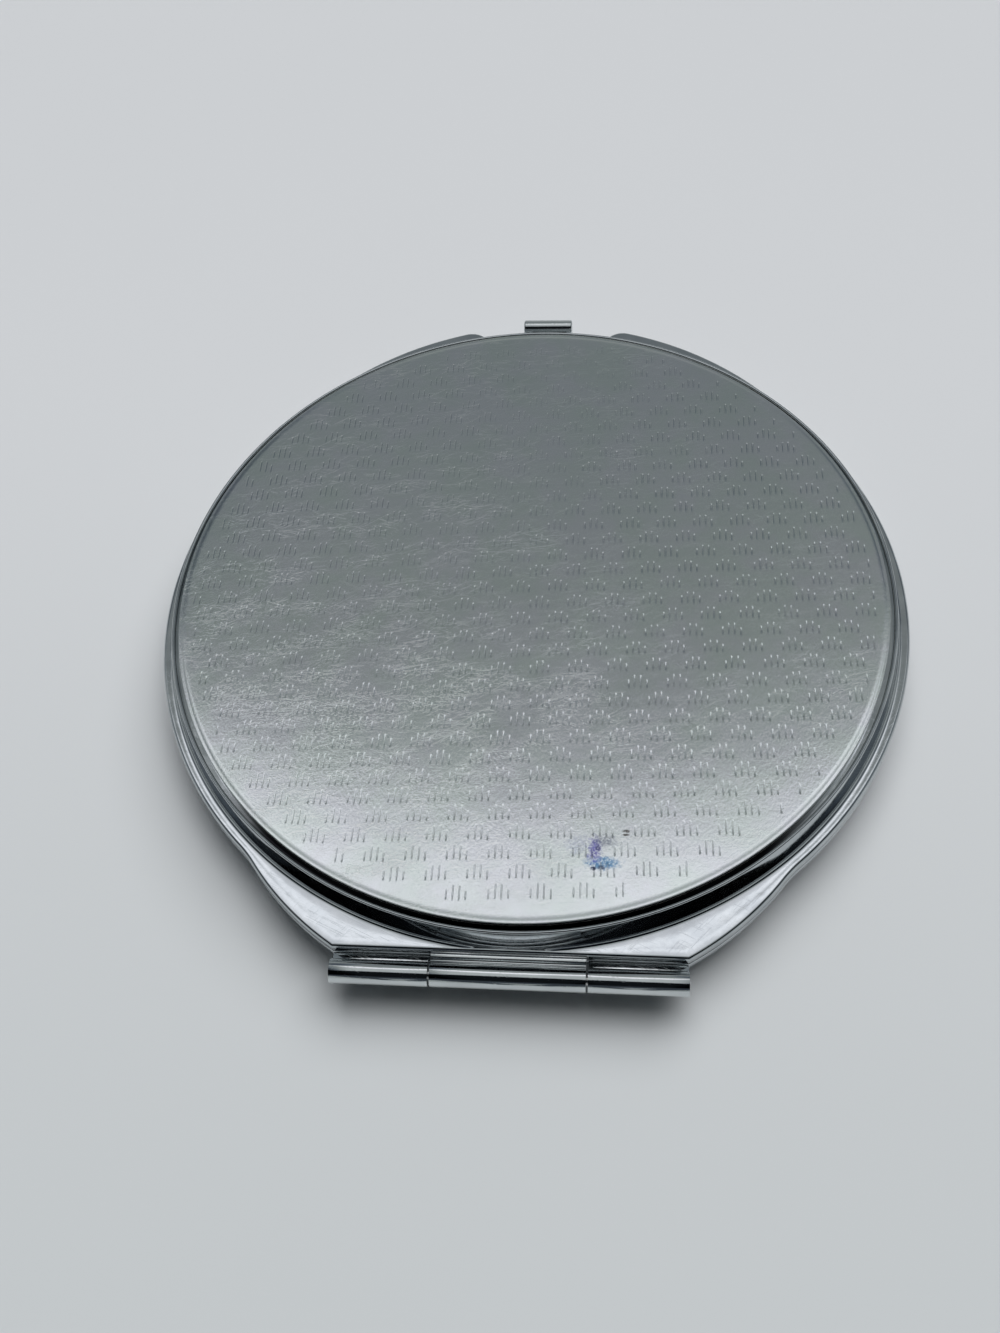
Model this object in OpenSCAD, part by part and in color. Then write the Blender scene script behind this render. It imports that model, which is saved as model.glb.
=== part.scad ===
// Round pocket compact with two mirrors, a three-knuckle hinge and a push-button latch.
// The case lies closed on its base: X runs along the hinge, Y from the hinge to the button, Z up.
// The origin is the centre of the flat underside.

/* [Case] */
// Diameter of the round edge of both halves
case_d = 65; // [60:0.5:72]
// Height of one half, from its parting face to its rim
half_h = 3.25; // [3.1:0.05:4.3]
// Gap between the parting faces of the closed halves
part_gap = 0.1; // [0.06:0.02:0.2]
// Height of the edge flange of one half
flange_h = 0.94; // [0.8:0.02:1.2]
// Width of the flange ledge outside the drum
ledge_w = 1; // [0.9:0.05:1.5]
// Chamfer on the flange's edge at the parting face
edge_c = 0.14; // [0.06:0.02:0.2]
// Width of the rolled edge on the flange's outer side
edge_w = 0.28; // [0.16:0.02:0.3]
// Height of that rolled edge
edge_h = 0.3; // [0.2:0.05:0.4]
// Inward lean of the drum wall, from its foot to the rim
wall_lean = 0.35; // [0.15:0.05:0.5]
// Width of the polished rim round the plate
rim_w = 0.6; // [0.5:0.05:0.9]
// Thickness of the floor between plate and mirror
floor_t = 0.6; // [0.5:0.05:0.8]

/* [Outline] */
// How far the hinge shoulders' arc would stand beyond the round edge
hinge_rise = 3.1; // [2.5:0.1:3.5]
// Distance from the case centre to the centre of the hinge shoulders' arc
hinge_shift = 9.4; // [8.5:0.1:10.5]
// How far the straight hinge edge is cut back inside the round edge
hinge_cut = 0.7; // [0.6:0.05:0.9]
// How far the front shoulders' arc would stand beyond the round edge
front_rise = 2.05; // [1.8:0.05:2.4]
// Distance from the case centre to the centre of the front shoulders' arc
front_shift = 5.5; // [5:0.1:6.5]
// Radius of the hollow blends where the shoulders leave the round edge
blend_r = 12; // [6:1:20]
// Radius of the tips beside the button
tip_r = 2; // [1.6:0.1:2.3]
// Distance from the middle to the centre of each tip
tip_x = 7.6; // [7:0.1:8.5]

/* [Plates] */
// Thickness of the plate at its edge
plate_t = 0.4; // [0.3:0.05:0.6]
// Height that the lid plate's middle is crowned
plate_crown = 0.3; // [0.1:0.05:0.5]
// Radius of the rolled edge of both plates
plate_round = 0.25; // [0.15:0.05:0.28]
// Height that the plates stand proud of the rims
plate_proud = 0.3; // [0.05:0.05:0.4]
// Gap round the edge of the plate
plate_gap = 0.1; // [0.05:0.05:0.2]
// Thickness of the adhesive film under the plate
film_t = 0.1; // [0.05:0.05:0.2]

/* [Mirrors] */
// Distance from the case's round edge to the edge of both mirrors
mirror_inset = 4.5; // [4.4:0.1:6.5]
// Thickness of the glass at its edge
mirror_t = 1.2; // [1:0.05:1.4]
// Radius of the hollow face of the magnifying mirror
hollow_r = 700; // [600:50:2000]
// Thickness of the foam pad behind each mirror
pad_t = 0.4; // [0.3:0.05:0.5]
// Width of the pad's bare margin at the mirror's edge
pad_margin = 2; // [1:0.5:5]
// Wall thickness of the bezel ring
bezel_t = 0.35; // [0.25:0.05:0.4]
// How far the bezel's lip reaches over the glass
bezel_lip = 0.8; // [0.5:0.1:1.5]
// Clearance round the glass and round the bezel
bezel_fit = 0.05; // [0.03:0.01:0.08]

/* [Hinge] */
// Length of the three knuckles together
hinge_l = 27.2; // [24:0.2:28]
// Length of the middle knuckle
middle_l = 11.8; // [9:0.2:14]
// Gap between neighbouring knuckles
seam_gap = 0.15; // [0.1:0.05:0.3]
// Diameter of the knuckles
knuckle_d = 1.9; // [1.6:0.05:2.1]
// Diameter of the hinge pin
pin_d = 0.8; // [0.6:0.05:1]
// Running clearance round the pin in the middle knuckle
pin_fit = 0.03; // [0.02:0.01:0.06]
// Distance from the straight hinge edge to the pin's axis
hinge_out = 1.55; // [1.45:0.05:1.9]
// Thickness of the leaves
leaf_t = 0.45; // [0.35:0.05:0.55]
// Depth of a leaf's face below the top of its knuckle
leaf_drop = 0.2; // [0.1:0.05:0.3]
// Depth that a leaf's tab reaches into the flange
leaf_in = 1.4; // [1:0.1:2]

/* [Latch] */
// Width of the button
button_w = 4.9; // [4.4:0.1:6]
// Diameter of the button's rolled nose
nose_d = 1.7; // [1.5:0.05:1.9]
// Distance of the nose's axis beyond the round edge
nose_out = 2.65; // [2.3:0.05:3]
// Distance of the nose's axis below the hinge plane
nose_drop = 0.15; // [0.1:0.05:0.3]
// Travel of the button
travel = 0.7; // [0.5:0.05:0.75]
// Width of the slide
slide_w = 3.6; // [3.2:0.1:4.2]
// Thickness of the slide
slide_t = 0.8; // [0.6:0.05:0.9]
// Sliding clearance round the slide
slide_fit = 0.05; // [0.03:0.01:0.08]
// Width of the hook
hook_w = 1.8; // [1.4:0.1:2.2]
// Thickness of the hook's upright
hook_t = 0.45; // [0.35:0.05:0.5]
// Reach of the hook's nose in front of its upright
hook_nose = 0.3; // [0.2:0.05:0.35]
// Height of the hook above the hinge plane
hook_h = 1.35; // [1.2:0.05:1.5]
// Thickness of the latch cover
cover_t = 0.3; // [0.2:0.05:0.4]
// Thickness of the spring leaf
spring_t = 0.2; // [0.12:0.02:0.24]
// Length of the spring leaf
spring_l = 11; // [9:0.5:12]
// Diameter of the rivet heads
rivet_d = 1.1; // [0.9:0.1:1.3]

/* [Hidden] */
$fn = 96;

// Steps in the shallow arcs of the crowned and the hollow face
crown_steps = 15;
// Overrun of every cut
over = 0.5;
// Steps in the arcs of the outline
side_steps = 32;
lobe_steps = 12;
blend_steps = 4;
tip_steps = 8;
notch_steps = 5;
// Steps in the rolled edges of the flange and of the plates
edge_steps = 3;
round_steps = 4;
// Share of the flange's plan that the drum covers all over
core_share = 0.88;

// Case radii, from the edge inwards
case_r = case_d / 2;
drum_r = case_r - ledge_w;
rim_r = drum_r - wall_lean;
recess_r = rim_r - rim_w;
plate_r = recess_r - plate_gap;
// The rim is a full bead, and the foot of the wall is a hollow fillet
rim_round = rim_w / 2;
foot_round = 0.3;

// Levels in the whole object
hinge_z = plate_proud + half_h + part_gap / 2;
recess_depth = plate_t + film_t - plate_proud;
// The plate's seat ends at the rim's inner side, or under the bead where the seat is shallow
seat_r = recess_depth < rim_round ? rim_r - rim_round : recess_r;
floor_h = half_h - recess_depth - floor_t;

// Outline
hinge_edge = case_r - hinge_cut;
hinge_lobe_r = case_r + hinge_rise - hinge_shift;
front_lobe_r = case_r + front_rise - front_shift;
tip_y = front_shift + sqrt((front_lobe_r - tip_r) * (front_lobe_r - tip_r) - tip_x * tip_x);

// Mirrors
mirror_r = case_r - mirror_inset;
bezel_in_r = mirror_r + bezel_fit;
bezel_r = bezel_in_r + bezel_t;
cavity_r = bezel_r + bezel_fit;
lip_r = mirror_r - bezel_lip;
pad_r = mirror_r - pad_margin;
glass_round = 0.15;
mirror_base = floor_h - pad_t;
bezel_h = pad_t + mirror_t + bezel_t;

// Hinge
knuckle_r = knuckle_d / 2;
pin_r = pin_d / 2;
hinge_y = -hinge_edge - hinge_out;
side_l = (hinge_l - middle_l) / 2 - seam_gap;
pin_head = 0.1;
// Height of a leaf's face above the pin's axis
leaf_top = knuckle_r - leaf_drop;
// Where the leaf runs into the knuckle
neck_y = sqrt(knuckle_r * knuckle_r - leaf_top * leaf_top);
groove_w = 0.12;
groove_depth = 0.12;
band_w = 0.42;
band_gap = 0.06;
leaf_step = 0.08;

// Latch, along Y from the mirror outwards
pocket_wall = 0.4;
spring_y = cavity_r + pocket_wall;
bow_spare = 0.15;
bow = travel + bow_spare;
slide_y = spring_y + spring_t + bow;
nose_r = nose_d / 2;
nose_y = case_r + nose_out;
nose_z = hinge_z - nose_drop;
slide_top = hinge_z - part_gap / 2 - cover_t - slide_fit;
slide_low = slide_top - slide_t;
hook_y = slide_y + hook_t;
catch_gap = 0.05;
catch_t = 0.25;
catch_w = 3;
catch_y = hook_y + hook_nose + catch_gap;
hook_beak = 0.45;
beak_land = 0.1;
beak_gap = 0.05;
pocket_spare = 0.1;
hook_top = hinge_z + hook_h;
button_bevel = 0.15;
spring_w = 0.7;
spring_r = (spring_l * spring_l / 4 + bow * bow) / (2 * bow);
cover_x = 8.8;
cover_inset = 0.15;
cover_y = spring_y - cover_inset;
cover_margin = 0.25;
cover_r = drum_r - cover_margin;
cover_gap = 0.03;
rivet_x = 7.5;
rivet_r = rivet_d / 2;
shank_r = 0.3;
rivet_head = 0.15;
rivet_l = 1.1;
rivet_y = (cover_y + sqrt(cover_r * cover_r - rivet_x * rivet_x)) / 2;

// Points on an arc from angle a0 to a1
function arc(c, r, a0, a1, n) = [
    for (i = [0 : n]) [c[0] + r * cos(a0 + (a1 - a0) * i / n), c[1] + r * sin(a0 + (a1 - a0) * i / n)]
];
// Where a circle round the origin meets one whose centre lies on the Y axis
function meet_y(r, c, q) = (r * r - q * q + c * c) / (2 * c);
function meet(r, c, q) = [sqrt(r * r - meet_y(r, c, q) * meet_y(r, c, q)), meet_y(r, c, q)];
// Where the round edge meets the circle of a tip, on the button's side
function tip_meet(r, t, q, d) =
    let (a = (d * d + r * r - q * q) / (2 * d), h = sqrt(r * r - a * a), u = t / d)
    [a * u[0] - h * u[1], a * u[1] + h * u[0]];
function angle(p, c) = atan2(p[1] - c[1], p[0] - c[0]);

// Right half of the case outline, drawn in by an inset, from the hinge to the notch's middle
function half_outline(inset) =
    let (
        r = case_r - inset,
        hc = [0, -hinge_shift],
        hr = hinge_lobe_r - inset,
        fc = [0, front_shift],
        fr = front_lobe_r - inset,
        tc = [tip_x, tip_y],
        tr = tip_r - inset,
        edge = hinge_edge - inset,
        corner = [sqrt(hr * hr - (edge - hinge_shift) * (edge - hinge_shift)), -edge],
        low = meet(case_r + blend_r, -hinge_shift, hinge_lobe_r + blend_r),
        high = meet(case_r + blend_r, front_shift, front_lobe_r + blend_r),
        notch = tip_meet(r, tc, tr, norm(tc)),
        swing = angle(tc, fc)
    )
    concat(
        arc(hc, hr, angle(corner, hc), angle(low, hc), lobe_steps),
        arc(low, blend_r + inset, angle(hc, low), angle([0, 0], low), blend_steps),
        arc([0, 0], r, angle(low, [0, 0]), angle(high, [0, 0]), side_steps),
        arc(high, blend_r + inset, angle([0, 0], high), angle(fc, high), blend_steps),
        arc(fc, fr, angle(high, fc), swing, lobe_steps),
        arc(tc, tr, swing, angle(notch, tc), tip_steps),
        arc([0, 0], r, angle(notch, [0, 0]), 90, notch_steps)
    );
// The arcs above share their end points, so each point too close to the one before it is left out
same_point = 0.001;
function thinned(p) = [
    for (i = [0 : len(p) - 1])
        if (i == 0 || norm(p[i] - p[max(i - 1, 0)]) > same_point) p[i]
];
function outline(inset) =
    let (right = thinned(half_outline(inset)), n = len(right))
    concat(right, [for (i = [n - 2 : -1 : 0]) [-right[i][0], right[i][1]]]);

// Closed solid through a stack of outlines of the same point count
module loft(rings, levels) {
    n = len(rings[0]);
    last = len(rings) - 1;
    points = [for (k = [0 : last]) for (p = rings[k]) [p[0], p[1], levels[k]]];
    sides = [
        for (k = [0 : last - 1]) for (i = [0 : n - 1])
            for (f = [
                [k * n + i, (k + 1) * n + i, k * n + (i + 1) % n],
                [(k + 1) * n + i, (k + 1) * n + (i + 1) % n, k * n + (i + 1) % n]
            ]) f
    ];
    caps = [[for (i = [0 : n - 1]) i], [for (i = [n - 1 : -1 : 0]) last * n + i]];
    polyhedron(points, concat(sides, caps));
}

// A block given by its low corner and its high corner
module block(low, high) {
    translate(low)
        cube(high - low);
}

// One half seen from its parting face at zero, with its rim upwards
module shell_blank() {
    turns = [for (i = [0 : edge_steps]) 90 * i / edge_steps];
    // The last ring lies inside the drum, so that the flange's face is made of short pieces
    core = [for (p = outline(edge_w)) p * core_share];
    loft(
        concat([outline(edge_c), outline(0)], [for (a = turns) outline(edge_w * (1 - cos(a)))], [core]),
        concat([0, edge_c], [for (a = turns) flange_h - edge_h * (1 - sin(a))], [flange_h])
    );
    rotate_extrude()
        difference() {
            union() {
                polygon([
                    [0, 0],
                    [drum_r, 0],
                    [drum_r, flange_h + foot_round],
                    [rim_r, half_h - rim_round],
                    [seat_r, half_h - rim_round],
                    [seat_r, half_h - recess_depth],
                    [0, half_h - recess_depth]
                ]);
                translate([rim_r - rim_round, half_h - rim_round])
                    circle(rim_round);
                translate([drum_r, flange_h])
                    square(foot_round);
            }
            translate([drum_r + foot_round, flange_h + foot_round])
                circle(foot_round);
        }
}

// The blank with the seat for the mirror and its bezel cut from the parting face
module shell_half() {
    difference() {
        shell_blank();
        translate([0, 0, -over])
            cylinder(h = floor_h + over, r = cavity_r);
    }
}

// Cuts that the hinge tabs fill, for knuckles from x0 to x1, on a half with its parting face at zero
module tab_slot(x0, x1) {
    leaf_low = leaf_top - leaf_t - part_gap / 2;
    block([x0, -hinge_edge - over, leaf_low], [x1, -hinge_edge + leaf_in, leaf_low + leaf_t]);
}

// Shape of the latch cover, grown by a gap
module cover_shape(gap) {
    intersection() {
        circle(cover_r + gap);
        translate([-cover_x - gap, cover_y - gap])
            square([2 * (cover_x + gap), cover_r]);
    }
}

module base_shell() {
    color("gainsboro")
        difference() {
            translate([0, 0, hinge_z - part_gap / 2])
                mirror([0, 0, 1])
                    difference() {
                        shell_half();
                        tab_slot(-hinge_l / 2, -hinge_l / 2 + side_l);
                        tab_slot(hinge_l / 2 - side_l, hinge_l / 2);
                    }
            // way of the slide, out through the wall
            block(
                [-slide_w / 2 - slide_fit, slide_y - travel - pocket_spare, slide_low - slide_fit],
                [slide_w / 2 + slide_fit, nose_y, hinge_z]
            );
            // pocket of the spring leaf
            block(
                [-spring_l / 2 - pocket_spare, spring_y, slide_low - slide_fit],
                [spring_l / 2 + pocket_spare, slide_y + slide_fit, hinge_z]
            );
            // seat of the cover
            translate([0, 0, slide_top + slide_fit])
                linear_extrude(cover_t + over)
                    cover_shape(cover_gap);
            for (side = [-1, 1])
                translate([side * rivet_x, rivet_y, slide_top + slide_fit - rivet_l])
                    cylinder(h = rivet_l + over, r = shank_r);
        }
}

module lid_shell() {
    pocket_y = slide_y - travel - pocket_spare;
    color("silver")
        difference() {
            translate([0, 0, hinge_z + part_gap / 2])
                difference() {
                    shell_half();
                    tab_slot(-middle_l / 2, middle_l / 2);
                }
            // pocket of the hook and the catch
            block(
                [-catch_w / 2, pocket_y, hinge_z - over],
                [catch_w / 2, catch_y + catch_t, hook_top + pocket_spare]
            );
        }
}

// Flat plate of the underside
module base_plate() {
    color("lightgray")
        rotate_extrude()
            polygon(concat(
                [[0, plate_t], [0, 0]],
                arc([plate_r - plate_round, plate_round], plate_round, -90, 0, round_steps),
                [[plate_r, plate_t]]
            ));
}

// Points on a shallow arc whose centre lies on the axis, as heights above its middle
function bow_height(x, r) = sqrt(r * r - x * x) - r;

// Lid plate, crowned towards its middle
module lid_plate() {
    plate_top = 2 * hinge_z;
    crown_r = (plate_r * plate_r + plate_crown * plate_crown) / (2 * plate_crown);
    flat_r = plate_r - plate_round;
    crown = [
        for (i = [0 : crown_steps])
            let (x = flat_r * (1 - i / crown_steps))
            [x, plate_top + plate_crown + bow_height(x, crown_r)]
    ];
    rolled = arc([flat_r, crown[0][1] - plate_round], plate_round, 0, 90, round_steps);
    color("darkgray")
        rotate_extrude()
            polygon(concat(
                [[0, plate_top - plate_t], [plate_r, plate_top - plate_t]],
                rolled,
                [for (i = [1 : crown_steps]) crown[i]]
            ));
}

module film() {
    cylinder(h = film_t, r = plate_r);
}

module base_plate_film() {
    color("khaki")
        translate([0, 0, plate_t])
            film();
}

module lid_plate_film() {
    color("khaki")
        translate([0, 0, 2 * hinge_z - plate_t - film_t])
            film();
}

// Foam pad on the floor of a half
module pad() {
    cylinder(h = pad_t, r = pad_r);
}

module base_mirror_pad() {
    color("whitesmoke")
        translate([0, 0, hinge_z - part_gap / 2 - floor_h])
            pad();
}

module lid_mirror_pad() {
    color("whitesmoke")
        translate([0, 0, hinge_z + part_gap / 2 + mirror_base])
            pad();
}

// Glass disc with ground edges, back face at zero
module glass() {
    rotate_extrude()
        polygon([
            [0, 0],
            [mirror_r - glass_round, 0],
            [mirror_r, glass_round],
            [mirror_r, mirror_t - glass_round],
            [mirror_r - glass_round, mirror_t],
            [0, mirror_t]
        ]);
}

// Magnifying mirror with its hollow face up
module base_mirror() {
    back_z = hinge_z - part_gap / 2 - mirror_base;
    hollow_edge = mirror_r - glass_round;
    hollow = [
        for (i = [0 : crown_steps])
            let (x = hollow_edge * (1 - i / crown_steps))
            [x, mirror_t + bow_height(hollow_edge, hollow_r) - bow_height(x, hollow_r)]
    ];
    color("lightcyan")
        translate([0, 0, back_z])
            rotate_extrude()
                polygon(concat(
                    [[0, 0], [mirror_r - glass_round, 0]],
                    [[mirror_r, glass_round], [mirror_r, mirror_t - glass_round]],
                    hollow
                ));
}

module lid_mirror() {
    color("lightcyan")
        translate([0, 0, hinge_z + part_gap / 2 + mirror_base])
            mirror([0, 0, 1])
                glass();
}

// Ring with a rounded lip over the glass, standing on the floor at zero
module bezel() {
    rotate_extrude() {
        translate([bezel_in_r, 0])
            square([bezel_t, bezel_h - bezel_t]);
        translate([lip_r + bezel_t / 2, bezel_h - bezel_t])
            square([bezel_r - lip_r - bezel_t, bezel_t]);
        translate([lip_r + bezel_t / 2, bezel_h - bezel_t / 2])
            circle(bezel_t / 2);
        intersection() {
            translate([bezel_in_r, bezel_h - bezel_t])
                circle(bezel_t);
            translate([bezel_in_r, bezel_h - bezel_t])
                square(bezel_t);
        }
    }
}

module base_bezel() {
    color("silver")
        translate([0, 0, hinge_z - part_gap / 2 - floor_h])
            bezel();
}

module lid_bezel() {
    color("silver")
        translate([0, 0, hinge_z + part_gap / 2 + floor_h])
            mirror([0, 0, 1])
                bezel();
}

// Rolled knuckle with its leaf on the upper side, drawn across the hinge with the axis at zero
module knuckle_profile() {
    difference() {
        union() {
            circle(knuckle_r);
            translate([0, leaf_top - leaf_t])
                square([hinge_out + leaf_in, leaf_t]);
            translate([hinge_out - band_gap - band_w, leaf_top - leaf_t])
                square([band_w, leaf_t + leaf_step]);
        }
        translate([neck_y, leaf_top - groove_depth])
            square([groove_w, groove_depth + over]);
    }
}

module knuckle(x0, x1, bore_r) {
    translate([x0, hinge_y, hinge_z])
        rotate([90, 0, 90])
            difference() {
                linear_extrude(x1 - x0)
                    knuckle_profile();
                translate([0, 0, -over])
                    cylinder(h = x1 - x0 + 2 * over, r = bore_r);
            }
}

// A side knuckle is the middle one's form turned over, with its leaf below
module side_knuckle(x0, x1) {
    translate([0, 0, 2 * hinge_z])
        mirror([0, 0, 1])
            knuckle(x0, x1, pin_r);
}

module hinge_knuckle_left() {
    color("gainsboro")
        side_knuckle(-hinge_l / 2, -hinge_l / 2 + side_l);
}

module hinge_knuckle_right() {
    color("gainsboro")
        side_knuckle(hinge_l / 2 - side_l, hinge_l / 2);
}

module hinge_knuckle_middle() {
    color("silver")
        knuckle(-middle_l / 2, middle_l / 2, pin_r + pin_fit);
}

// Pin with a low peened head at each end
module hinge_pin() {
    head_r = pin_r + pin_head;
    color("dimgray")
        translate([-hinge_l / 2, hinge_y, hinge_z])
            rotate([0, 90, 0])
                rotate_extrude()
                    polygon([
                        [0, -pin_head],
                        [pin_r, -pin_head],
                        [head_r, 0],
                        [pin_r, 0],
                        [pin_r, hinge_l],
                        [head_r, hinge_l],
                        [pin_r, hinge_l + pin_head],
                        [0, hinge_l + pin_head]
                    ]);
}

// Bowed spring leaf that rests on the pocket's inner wall and on the slide's back
module latch_spring() {
    centre_y = spring_y + bow - spring_r;
    color("slategray")
        translate([0, centre_y, slide_low])
            linear_extrude(spring_w)
                intersection() {
                    difference() {
                        circle(spring_r + spring_t, $fn = 360);
                        circle(spring_r, $fn = 360);
                    }
                    translate([-spring_l / 2, spring_y - centre_y])
                        square([spring_l, bow + spring_t]);
                }
}

module latch_cover() {
    slot_y = slide_y - travel - pocket_spare;
    color("gainsboro")
        translate([0, 0, slide_top + slide_fit])
            difference() {
                linear_extrude(cover_t)
                    cover_shape(0);
                block(
                    [-hook_w / 2 - pocket_spare, slot_y, -over],
                    [hook_w / 2 + pocket_spare, catch_y, cover_t + over]
                );
                for (side = [-1, 1])
                    translate([side * rivet_x, rivet_y, 0]) {
                        translate([0, 0, -over])
                            cylinder(h = cover_t + 2 * over, r = shank_r);
                        translate([0, 0, cover_t - rivet_head])
                            cylinder(h = rivet_head + over, r = rivet_r);
                    }
            }
}

module latch_rivets() {
    seat = slide_top + slide_fit;
    color("silver")
        for (side = [-1, 1])
            translate([side * rivet_x, rivet_y, seat - rivet_l]) {
                cylinder(h = rivet_l + cover_t, r = shank_r);
                translate([0, 0, rivet_l + cover_t - rivet_head])
                    cylinder(h = rivet_head, r = rivet_r);
            }
}

// Rolled nose with a tongue that sits on the slide's outer end
module latch_button() {
    color("silver")
        difference() {
            union() {
                translate([-button_w / 2, nose_y, nose_z])
                    rotate([0, 90, 0])
                        rotate_extrude()
                            polygon([
                                [0, 0],
                                [nose_r - button_bevel, 0],
                                [nose_r, button_bevel],
                                [nose_r, button_w - button_bevel],
                                [nose_r - button_bevel, button_w],
                                [0, button_w]
                            ]);
                block([-slide_w / 2, case_r + slide_fit, slide_top], [slide_w / 2, nose_y, nose_z]);
            }
            block([-slide_w, case_r - over, slide_low], [slide_w, nose_y + nose_r / 2, slide_top]);
        }
}

// Slide with its upright hook, bevelled so that the closing lid pushes it back
module latch_hook() {
    color("lightsteelblue")
        union() {
            block([-slide_w / 2, slide_y, slide_low], [slide_w / 2, nose_y + nose_r / 2, slide_top]);
            translate([-hook_w / 2, 0, 0])
                rotate([90, 0, 90])
                    linear_extrude(hook_w)
                        polygon([
                            [slide_y, slide_low],
                            [hook_y, slide_low],
                            [hook_y, hook_top - hook_beak],
                            [hook_y + hook_nose, hook_top - hook_beak],
                            [hook_y + hook_nose, hook_top - hook_beak + beak_land],
                            [hook_y, hook_top],
                            [slide_y, hook_top]
                        ]);
        }
}

// Strike on the outer wall of the lid's pocket
module lid_catch() {
    top = hook_top - hook_beak - beak_gap;
    color("lightsteelblue")
        block([-catch_w / 2, catch_y, hinge_z + part_gap / 2], [catch_w / 2, catch_y + catch_t, top]);
}

base_shell();
base_plate();
base_plate_film();
base_mirror_pad();
base_mirror();
base_bezel();
hinge_knuckle_left();
hinge_knuckle_right();
hinge_pin();
latch_cover();
latch_rivets();
latch_spring();
lid_shell();
lid_plate();
lid_plate_film();
lid_mirror_pad();
lid_mirror();
lid_bezel();
hinge_knuckle_middle();
lid_catch();
latch_button();
latch_hook();
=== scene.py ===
import math
import random

import bmesh
import bpy
from mathutils import Matrix, Vector
from mathutils.geometry import delaunay_2d_cdt


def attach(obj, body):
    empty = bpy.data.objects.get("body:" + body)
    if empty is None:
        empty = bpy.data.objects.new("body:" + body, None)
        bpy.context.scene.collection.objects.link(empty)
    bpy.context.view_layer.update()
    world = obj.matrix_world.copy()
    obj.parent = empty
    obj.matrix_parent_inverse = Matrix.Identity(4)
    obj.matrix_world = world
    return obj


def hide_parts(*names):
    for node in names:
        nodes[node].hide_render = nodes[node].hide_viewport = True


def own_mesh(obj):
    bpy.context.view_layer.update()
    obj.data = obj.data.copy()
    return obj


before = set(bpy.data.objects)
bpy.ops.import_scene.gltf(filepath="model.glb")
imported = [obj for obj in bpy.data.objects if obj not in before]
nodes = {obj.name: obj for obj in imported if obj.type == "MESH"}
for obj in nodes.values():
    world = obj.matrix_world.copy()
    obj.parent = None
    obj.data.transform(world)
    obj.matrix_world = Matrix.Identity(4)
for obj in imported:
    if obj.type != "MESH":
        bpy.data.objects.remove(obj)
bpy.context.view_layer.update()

scene = bpy.context.scene
MM = 0.001

# compact mirror, closed, seen from the hinge side; sizes in mm follow the part's source
# case
CASE_R = 32.5
HALF_H = 3.25
GAP = 0.1
HINGE_Z = 3.6
FLANGE_H = 0.94
EDGE_W = 0.28
EDGE_H = 0.30
PART_EDGE = 0.14
FOOT = 0.3
DRUM_R = 31.5
RIM_R = 31.15
RECESS_Z = 3.05
FLOOR_H = 2.45
CAVITY_R = 28.45

# outline: the round case, a lobe at the hinge with a straight edge, and one at the front with round tips
HINGE_SHIFT = 9.4
HINGE_LOBE_R = 26.2
HINGE_EDGE = 31.8
FRONT_SHIFT = 5.5
FRONT_LOBE_R = 29.05
BLEND_R = 12.0
TIP_R = 2.0
TIP_X = 7.6
TIP_Y = FRONT_SHIFT + math.sqrt((FRONT_LOBE_R - TIP_R) ** 2 - TIP_X ** 2)

# plates
PLATE_R = 30.45
PLATE_T = 0.4
CROWN = 0.3

# mirrors and bezels
GLASS_R = 28.0
GLASS_T = 1.2
GLASS_EDGE = 0.15
HOLLOW_R = 700.0
BASE_GLASS_Z = 1.5
LID_GLASS_Z = 5.7
BEZEL_R = 28.05
BEZEL_T = 0.35
BEZEL_LIP_R = 27.2
BEZEL_H = 1.95
BASE_BEZEL_Z = 1.1
LID_BEZEL_Z = 6.1

# hinge
HINGE_Y = -33.35
HINGE_L = 27.2
MIDDLE_L = 11.8
SIDE_L = 7.55
KNUCKLE_R = 0.95
PIN_R = 0.4
PIN_PLAY = 0.03
LEAF_T = 0.45
LEAF_TOP = 0.75
LEAF_END = 1.55
LEAF_GAP = 0.02

# latch
NOSE_Y = 35.15
NOSE_Z = 3.45
NOSE_R = 0.85
BUTTON_W = 4.9
TONGUE_W = 3.6
TONGUE_Y = 32.55
TONGUE_Z = 3.2
SPRING_Y = 28.85
SPRING_BOW = 0.85
SPRING_T = 0.2
SPRING_L = 11.0
SPRING_Z = 2.4
SPRING_H = 0.7
POCKET_W = 11.2
POCKET_END = 29.95
POCKET_Z = 2.35
WAY_W = 3.7
WAY_END = 35.0
COVER_W = 17.66
COVER_Y = 28.67
COVER_R = 31.28
COVER_Z = 3.25
SLOT_W = 3.0
SLOT_Y = 29.1
SLOT_END = 30.95
SLOT_Z = 5.05

# finer shapes of this scene: groove and bead round the plate, edges of the seats, border of the flange
GROOVE_Z = 2.6
LIP = 0.13
LIP_IN = 0.20
PLATE_GAP = 0.03
SEAT_EDGE = 0.08
BORDER = 0.6
BORDER_RISE = 0.028
# how far cutters reach past the parting plane
OVERLAP = 0.1

# steps of the outline's runs, from the middle of the hinge edge to the middle of the notch
EDGE_STEPS = 12
HINGE_LOBE_STEPS = 26
LOW_BLEND_STEPS = 10
SIDE_STEPS = 120
HIGH_BLEND_STEPS = 8
FRONT_LOBE_STEPS = 34
TIP_STEPS = 20
NOTCH_STEPS = 16
# steps round the turned pieces
ROUND_STEPS = 384


# plane curves
def around(c, r, angles):
    """Points round c at angles in radians."""
    return [(c[0] + r * math.cos(a), c[1] + r * math.sin(a)) for a in angles]


def arc(c, r, a0, a1, n):
    """Points of an arc from one angle to another, in radians."""
    return around(c, r, [a0 + (a1 - a0) * i / n for i in range(n + 1)])


def rounded(c, r, a0, a1, n):
    """Points of an arc from one angle to another, in degrees."""
    return around(c, r, [math.radians(a0 + (a1 - a0) * i / n) for i in range(n + 1)])


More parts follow.
